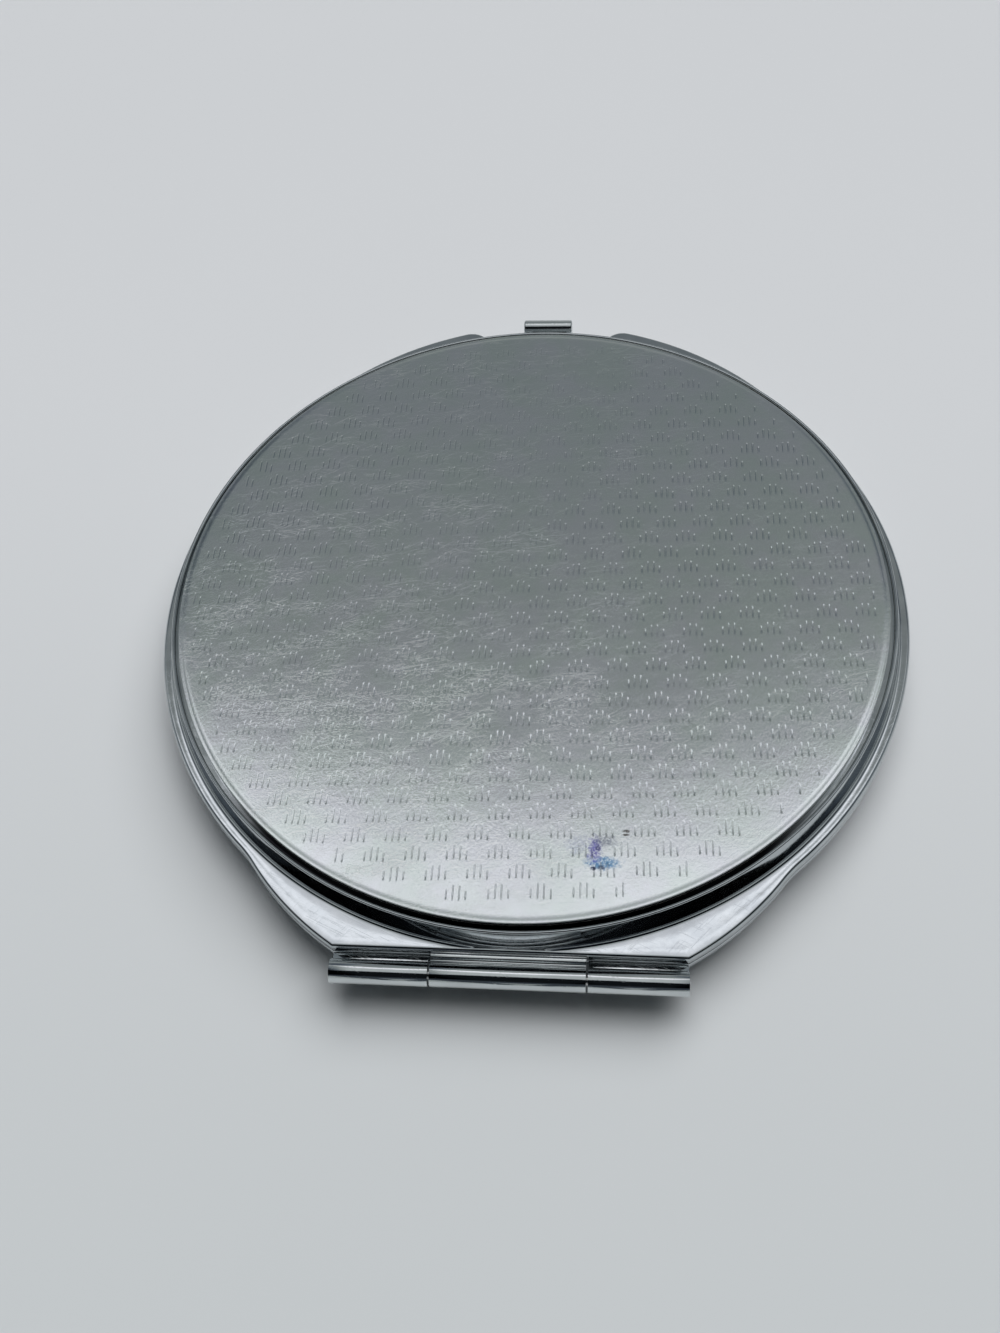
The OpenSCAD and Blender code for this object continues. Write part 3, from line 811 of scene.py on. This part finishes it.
def border_rows():
    """Section of the plate's border as (r, z): a curve of given tilts, the rolled edge and the side."""
    last = PLATE_R - ROLL + ROLL * math.sin(math.radians(ROLL_TILT))
    tilts = [(FACE_R + d, tilt) for d, tilt in BORDER_TILTS] + [(last, ROLL_TILT)]
    rows = []
    z = crown_z(FACE_R)
    for (r0, tilt0), (r1, tilt1) in zip(tilts, tilts[1:]):
        for k in range(1, BORDER_STEPS + 1):
            tilt = tilt0 + (tilt1 - tilt0) * (k - 0.5) / BORDER_STEPS
            z -= (r1 - r0) / BORDER_STEPS * math.tan(math.radians(tilt))
            rows.append((r0 + (r1 - r0) * k / BORDER_STEPS, z))
    centre = z - ROLL * math.cos(math.radians(ROLL_TILT))
    rows += rounded((PLATE_R - ROLL, centre), ROLL, 90 - ROLL_TILT, 0, 8)[1:]
    return rows + [(PLATE_R, 2 * HINGE_Z - PLATE_T)]


def engraved_plate():
    """Crowned plate with its strokes cut in and its border turned down."""
    strokes = pattern()
    plan, loops = [], []
    for x, y0, y1, depth in strokes:
        guard = oval(x, y0 - GUARD_END, y1 + GUARD_END, GUARD)
        loops.append(list(range(len(plan), len(plan) + len(guard))))
        plan.extend(guard)
    disc = len(loops)
    loops.append(list(range(len(plan), len(plan) + PLATE_STEPS)))
    plan.extend(circle(FACE_R, PLATE_STEPS))
    done = delaunay_2d_cdt([Vector(p) for p in plan], [], loops, 1, 1e-5)
    coords, triangles, old_verts, old_faces = done[0], done[2], done[3], done[5]
    verts = [(p.x, p.y, crown_z(p.length)) for p in coords]
    where = {o: k for k, originals in enumerate(old_verts) for o in originals}
    # the face itself is what lies in the disc and in no stroke
    faces = [tuple(t) for t, o in zip(triangles, old_faces) if o and all(f == disc for f in o)]

    def grow(edge, points):
        """Skin from a loop of vertices to a new ring of points."""
        fresh = list(range(len(verts), len(verts) + len(points)))
        verts.extend(points)
        faces.extend(bridge(edge, fresh))
        return fresh

    for loop, stroke in zip(loops, strokes):
        edge = [where[v] for v in loop]
        for points in stroke_rings(*stroke):
            edge = grow(edge, points)
        faces.append(tuple(edge))
    edge = [where[v] for v in loops[disc]]
    for r, z in border_rows():
        edge = grow(edge, at(circle(r, PLATE_STEPS), z))
    faces.append(tuple(reversed(edge)))
    return verts, faces


def underside_plate():
    """Plain disc with a rolled lower edge."""
    edge = rounded((PLATE_R - UNDER_EDGE, UNDER_EDGE), UNDER_EDGE, 270, 360, 8)
    face = [(0, 0)] + [(r, 0) for r in UNDER_RINGS]
    return lathe(face + edge + [(PLATE_R, PLATE_T), (0, PLATE_T)])


plate = solid("lid_engraved_plate", *engraved_plate())
finish_piece(plate, "lid", "lid_plate", engraved_metal, sharp=50.0)
base_plate = solid("base_underside_plate", *underside_plate())
finish_piece(base_plate, "base", "base_plate", plain_metal)


# mirrors and bezels
GLASS_RINGS = 12
BEZEL_EDGE = 0.3


def glass_disc(name, body, node, z_back, side, hollow=None):
    """Mirror glass, facing up with side 1 and down with -1; a hollow radius makes it magnify."""
    face_r = GLASS_R - GLASS_EDGE

    def dip(r):
        return math.sqrt(hollow ** 2 - r * r) - math.sqrt(hollow ** 2 - face_r ** 2) if hollow else 0.0

    profile = [(0, 0), (face_r, 0), (GLASS_R, GLASS_EDGE), (GLASS_R, GLASS_T - GLASS_EDGE)]
    for i in range(GLASS_RINGS + 1):
        r = face_r * (1 - i / GLASS_RINGS)
        profile.append((r, GLASS_T - dip(r)))
    ob = solid(name, *lathe([(r, z_back + side * z) for r, z in profile]))
    finish_piece(ob, body, node, glass_metal)


def bezel_ring(name, body, node, z0, side):
    """Thin ring with a rolled lip that holds the glass."""
    outer = BEZEL_R + BEZEL_T
    half = BEZEL_T / 2
    profile = [(BEZEL_R, 0.0), (outer, 0.0)]
    profile += rounded((outer - BEZEL_EDGE, BEZEL_H - BEZEL_EDGE), BEZEL_EDGE, 0, 90, 7)
    profile += rounded((BEZEL_LIP_R + half, BEZEL_H - half), half, 90, 270, 10)
    profile += [(BEZEL_R, BEZEL_H - BEZEL_T)]
    ob = solid(name, *lathe([(r, z0 + side * z) for r, z in profile], closed=True))
    finish_piece(ob, body, node, bezel_metal)


glass_disc("magnifying_mirror", "base", "base_mirror", BASE_GLASS_Z, 1, HOLLOW_R)
glass_disc("plain_mirror", "lid", "lid_mirror", LID_GLASS_Z, -1)
bezel_ring("base_mirror_ring", "base", "base_bezel", BASE_BEZEL_Z, 1)
bezel_ring("lid_mirror_ring", "lid", "lid_bezel", LID_BEZEL_Z, -1)


# hinge, in mm: bead along the leaf's free edge, valley behind it and round throat at the knuckle
BEAD_W = 0.42
BEAD_H = 0.08
BEAD_IN = 0.06
VALLEY = 0.17
VALLEY_IN = 0.16
THROAT_R = 0.075
THROAT_IN = 0.08
KNUCKLE_EDGE = 0.045
# head of the pin: radius and distance past the last knuckle
PIN_HEAD = ((0, 0.1), (0.3, 0.095), (0.42, 0.06), (0.49, 0.0), (PIN_R, -HAIR))


def knuckle_section():
    """Section of the rolled knuckle with its leaf on the upper side, as (y, z) from the pin's axis."""
    neck = math.sqrt(KNUCKLE_R ** 2 - LEAF_TOP ** 2)
    low = LEAF_TOP - LEAF_T
    start = math.degrees(math.atan2(LEAF_TOP, neck))
    stop = math.degrees(math.atan2(low, math.sqrt(KNUCKLE_R ** 2 - low ** 2)))
    section = rounded((0, 0), KNUCKLE_R, start, stop + 360, 72)
    section += [(LEAF_END - LEAF_GAP, low), (LEAF_END - LEAF_GAP, LEAF_TOP)]
    bead_out = LEAF_END - BEAD_IN
    bead_in = bead_out - BEAD_W
    middle, half = (bead_in + bead_out) / 2, BEAD_W / 2
    arch = rounded((0, 0), 1.0, 0, 180, 12)
    section += [(middle + half * c, LEAF_TOP + BEAD_H * d) for c, d in arch]
    middle, half = (bead_in + neck + VALLEY_IN) / 2, (bead_in - neck - VALLEY_IN) / 2
    section += [(middle + half * c, LEAF_TOP - VALLEY * d) for c, d in arch[1:]]
    return section + rounded((neck + THROAT_IN, LEAF_TOP), THROAT_R, 0, -180, 6)


def bored(outer, inner):
    """Triangles of a section with a hole, its points, and the two loops as numbers of points."""
    loops = [list(range(len(outer))), list(range(len(outer), len(outer) + len(inner)))]
    done = delaunay_2d_cdt([Vector(p) for p in outer + inner], [], loops, 1, 1e-6)
    where = {o: k for k, originals in enumerate(done[3]) for o in originals}
    triangles = [tuple(t) for t, o in zip(done[2], done[5]) if o and 1 not in o]
    return triangles, done[0], [[where[v] for v in loop] for loop in loops]


def round_ends(ob):
    """Takes the sharp edges off the two ends of a piece that lies along X."""
    bm = bmesh.new()
    bm.from_mesh(ob.data)
    ends = []
    for e in bm.edges:
        upright = abs(e.verts[0].co.x - e.verts[1].co.x) < 1e-9
        if upright and len(e.link_faces) == 2 and abs(e.calc_face_angle(0) - math.pi / 2) < 0.2:
            ends.append(e)
    width = KNUCKLE_EDGE * MM
    bmesh.ops.bevel(bm, geom=ends, offset=width, segments=2, profile=0.5, affect="EDGES", clamp_overlap=True)
    bm.to_mesh(ob.data)
    bm.free()


def knuckle(name, body, node, x0, x1, side, bore):
    """Knuckle from x0 to x1, its leaf above the axis with side 1 and below it with -1."""
    outer = [(y, side * z) for y, z in knuckle_section()]
    triangles, points, loops = bored(outer[::side], circle(bore, 40))
    count = len(points)
    verts = [(x, HINGE_Y + p.x, HINGE_Z + p.y) for x in (x0, x1) for p in points]
    faces = triangles + [tuple(count + v for v in reversed(t)) for t in triangles]
    for loop in loops:
        for a, b in zip(loop, loop[1:] + loop[:1]):
            if a != b:
                faces.append((a, b, count + b, count + a))
    ob = solid(name, verts, faces)
    round_ends(ob)
    finish_piece(ob, body, node, hinge_metal, sharp=38.0)


hinge_end = HINGE_L / 2
middle_end = MIDDLE_L / 2
knuckle("lid_knuckle", "lid", "hinge_knuckle_middle", -middle_end, middle_end, 1, PIN_R + PIN_PLAY)
knuckle("base_knuckle_left", "base", "hinge_knuckle_left", -hinge_end, -hinge_end + SIDE_L, -1, PIN_R)
knuckle("base_knuckle_right", "base", "hinge_knuckle_right", hinge_end - SIDE_L, hinge_end, -1, PIN_R)

rod = [(r, -hinge_end - past) for r, past in PIN_HEAD]
rod += [(r, hinge_end + past) for r, past in reversed(PIN_HEAD)]
verts, faces = lathe(rod, 48)
pin = solid("hinge_rod", [(z, HINGE_Y + y, HINGE_Z + x) for x, y, z in verts], faces)
finish_piece(pin, "base", "hinge_pin", pin_steel)


# button: distance from its end, and share of its radius there
NOSE_SHARES = ((0.0, 0.80), (0.02, 0.88), (0.07, 0.95), (0.15, 0.99), (0.25, 1.0))


def button_nose():
    """Bar along X with rounded ends."""
    ends = [(-BUTTON_W / 2 + d, share) for d, share in NOSE_SHARES]
    rings = []
    for x, share in ends + [(-x, share) for x, share in reversed(ends)]:
        rings.append([(x, NOSE_Y + y * share, NOSE_Z + z * share) for y, z in circle(NOSE_R, 96)])
    return loft(rings)


nose = solid("button_nose", *button_nose())
combine(nose, "UNION", [prism("tongue", rectangle(TONGUE_W, TONGUE_Y, NOSE_Y), TONGUE_Z, NOSE_Z)])
finish_piece(nose, "latch", "latch_button", hinge_metal)


# spring
def spring_leaf():
    """Bowed leaf that stands on edge behind the slide."""
    r = (SPRING_L * SPRING_L / 4 + SPRING_BOW * SPRING_BOW) / (2 * SPRING_BOW)
    centre = SPRING_Y + SPRING_BOW - r
    swing = math.asin(SPRING_L / 2 / r)
    low, high = SPRING_Z, SPRING_Z + SPRING_H
    section = ((r, low), (r + SPRING_T, low), (r + SPRING_T, high), (r, high))
    steps = 48
    rings = []
    for i in range(steps + 1):
        a = -swing + 2 * swing * i / steps
        rings.append([(reach * math.sin(a), centre + reach * math.cos(a), z) for reach, z in section])
    return loft(rings)


spring = solid("spring_leaf", *spring_leaf())
finish_piece(spring, "base", "latch_spring", spring_steel)
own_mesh(spring)


# materials of the CAD pieces, and the rounding in mm of the steel ones that no piece above replaces
STEEL_EDGE = 0.03
DRESS = (
    (adhesive, None, ("base_plate_film", "lid_plate_film")),
    (foam, None, ("base_mirror_pad", "lid_mirror_pad")),
    (plain_steel, STEEL_EDGE, ("latch_cover", "latch_rivets", "lid_catch", "latch_hook")),
    (case_metal, None, ("base_shell", "lid_shell")),
    (plain_metal, None, ("base_plate",)),
    (engraved_metal, None, ("lid_plate",)),
    (glass_metal, None, ("base_mirror", "lid_mirror")),
    (bezel_metal, None, ("base_bezel", "lid_bezel")),
    (hinge_metal, None, ("hinge_knuckle_left", "hinge_knuckle_right", "hinge_knuckle_middle")),
    (hinge_metal, None, ("latch_button",)),
    (pin_steel, None, ("hinge_pin",)),
    (spring_steel, None, ("latch_spring",)),
)
for paint, edge, names in DRESS:
    for name in names:
        ob = nodes[name]
        ob.data.materials.clear()
        ob.data.materials.append(paint)
        if edge:
            b = ob.modifiers.new("edges", "BEVEL")
            b.width, b.segments = edge * MM, 2
            b.limit_method, b.angle_limit = "ANGLE", math.radians(40)
            b.harden_normals = False


# floor: half its size in metres, and the stretch of Y in mm over which a painted shade darkens it towards
# the hinge side
FLOOR = 3
SHADE_FROM = 40
SHADE_TO = -70
floor_mesh = bpy.data.meshes.new("floor")
corners = [(-FLOOR, -FLOOR, 0), (FLOOR, -FLOOR, 0), (FLOOR, FLOOR, 0), (-FLOOR, FLOOR, 0)]
floor_mesh.from_pydata(corners, [], [(0, 1, 2, 3)])
floor = bpy.data.objects.new("floor", floor_mesh)
scene.collection.objects.link(floor)
floor_paint, n, s = material("floor paint")
speck = n.noise(n.place(), scale=0.02, detail=3.0)
x, y, z = n.split(n.place())
far_tone = n.mix(speck, (0.675, 0.687, 0.705, 1), (0.690, 0.702, 0.720, 1))
# painted shade: the floor's tone is darker on the hinge side
painted_shade_tone = n.mix(speck, (0.600, 0.625, 0.635, 1), (0.616, 0.641, 0.652, 1))
n.link(n.mix(n.ramp(y, SHADE_FROM, SHADE_TO, 0.0, 1.0, True), far_tone, painted_shade_tone), s["Base Color"])
s["Roughness"].default_value = 0.6
s["Specular IOR Level"].default_value = 0.2
floor.data.materials.append(floor_paint)

# soft lamp for the floor and its shadow, kept out of reflections
lamp_data = bpy.data.lights.new("soft lamp", "SUN")
lamp_data.energy, lamp_data.angle = 2.45, math.radians(60)
lamp = bpy.data.objects.new("soft lamp", lamp_data)
scene.collection.objects.link(lamp)
lamp.location = (0.22, 0.42, 0.88)
lamp.rotation_euler = Vector(lamp.location).to_track_quat("Z", "Y").to_euler()
lamp.visible_glossy = False

# light from the room: level of the wall, then steps along a bent slope towards the far side, each given by
# its start, its end, how much it adds and whether it is smooth
WALL_LIGHT = 0.25
LIGHT_STEPS = (
    (1.0, 0.5, 0.07, False),
    (0.475, 0.415, 0.47, True),
    (0.42, 0.38, 0.70, False),
    (0.35, 0.30, -0.50, True),
    (0.29, 0.14, -0.45, True),
)


def room_light(n, sx, sy, glossy):
    """Brightness of the room in a direction, given by its slopes along X and Y from straight up."""
    # the far wall is dim, and a bright ceiling patch sits above it with an upturned edge
    bend = n.plus(n.math("MINIMUM", n.math("MAXIMUM", sx, -0.7), 0.6), 0.07)
    t = n.minus(sy, n.times(n.times(bend, bend), 0.75))
    lum = WALL_LIGHT
    for start, end, gain, smooth in LIGHT_STEPS:
        lum = n.plus(lum, n.ramp(t, start, end, 0.0, gain, smooth))
    # the wall is lighter low down on the far side
    low_wall = n.ramp(sy, 1.15, 2.0, 0.0, 1.0, True)
    lum = n.times_plus(low_wall, 0.13, lum)
    # both sides are dark, and a black screen stands towards the hinge side
    side = n.ramp(n.math("ABSOLUTE", n.plus(sx, 0.03)), 0.36, 0.68, 0.0, 1.0, True)
    side = n.times(side, n.times_plus(low_wall, -0.8, 1.0))
    beside = n.ramp(sy, 0.25, -0.1, 0.0, 1.0, True)
    lum = n.times(lum, n.minus(1.0, n.times(side, n.times_plus(beside, 0.31, 0.65))))
    screen = n.times(n.ramp(sy, -0.21, -0.28, 0.0, 1.0, True), n.ramp(sy, -3.6, -2.8, 0.0, 1.0, True))
    lum = n.times(lum, n.times_plus(screen, -0.985, 1.0))
    low = n.ramp(sy, -2.8, -3.6, 0.0, 1.0, True)
    lum = n.times(lum, n.times_plus(low, -0.45, 1.0))
    # what the case mirrors towards its sides and its back is a lighter part of the room
    aside = n.ramp(n.math("ABSOLUTE", sx), 1.5, 2.2, 0.0, 0.40, True)
    behind = n.ramp(sy, -1.3, -2.1, 0.0, 0.055, True)
    lighter = n.math("MAXIMUM", n.minus(n.math("MAXIMUM", aside, behind), lum), 0.0)
    return n.times_plus(lighter, glossy, lum)


world = bpy.data.worlds.new("room light")
scene.world = world
world.use_nodes = True
n = Nodes(world.node_tree)
x, y, z = n.split(n.add("ShaderNodeTexCoord").outputs["Generated"])
path = n.add("ShaderNodeLightPath").outputs
height = n.math("MAXIMUM", z, 0.08)
lum = room_light(n, n.math("DIVIDE", x, height), n.math("DIVIDE", y, height), path["Is Glossy Ray"])
# the dark parts are bluish
hue = n.mix(n.ramp(lum, 0.10, 0.30, 1.0, 0.0), (0.935, 1.0, 1.0, 1), (0.82, 0.98, 1.18, 1))
hue = n.mix(n.ramp(lum, 0.35, 0.95), hue, (0.99, 0.99, 1.03, 1))
tint = n.add("ShaderNodeVectorMath", operation="SCALE")
n.link(hue, tint.inputs[0])
n.link(lum, tint.inputs["Scale"])
backdrop = n.add("ShaderNodeBackground")
n.link(n.mix(path["Is Camera Ray"], tint.outputs[0], (0.60, 0.615, 0.64, 1)), backdrop.inputs["Color"])
backdrop.inputs["Strength"].default_value = 1.0
out = n.add("ShaderNodeOutputWorld")
n.link(backdrop.outputs[0], out.inputs["Surface"])

# camera: its place in mm, its axes, and its focal length as a share of the picture's height
EYE = Vector((8.49, -67.21, 102.31))
RIGHT = Vector((0.99554, 0.06352, -0.06978))
DOWN = Vector((0.01695, -0.84784, -0.52998))
AHEAD = Vector((-0.09282, 0.52643, -0.84514))
FOCAL_SHARE = 1.0142836
cam_data = bpy.data.cameras.new("camera")
cam_data.sensor_width = 36
cam_data.lens = cam_data.sensor_width * FOCAL_SHARE
cam_data.clip_start, cam_data.clip_end = 0.005, 20
cam = bpy.data.objects.new("camera", cam_data)
scene.collection.objects.link(cam)
turn = Matrix((RIGHT, -DOWN, -AHEAD)).transposed()
cam.matrix_world = Matrix.Translation(EYE * MM) @ turn.to_4x4()
scene.camera = cam
scene.view_settings.view_transform = "Standard"
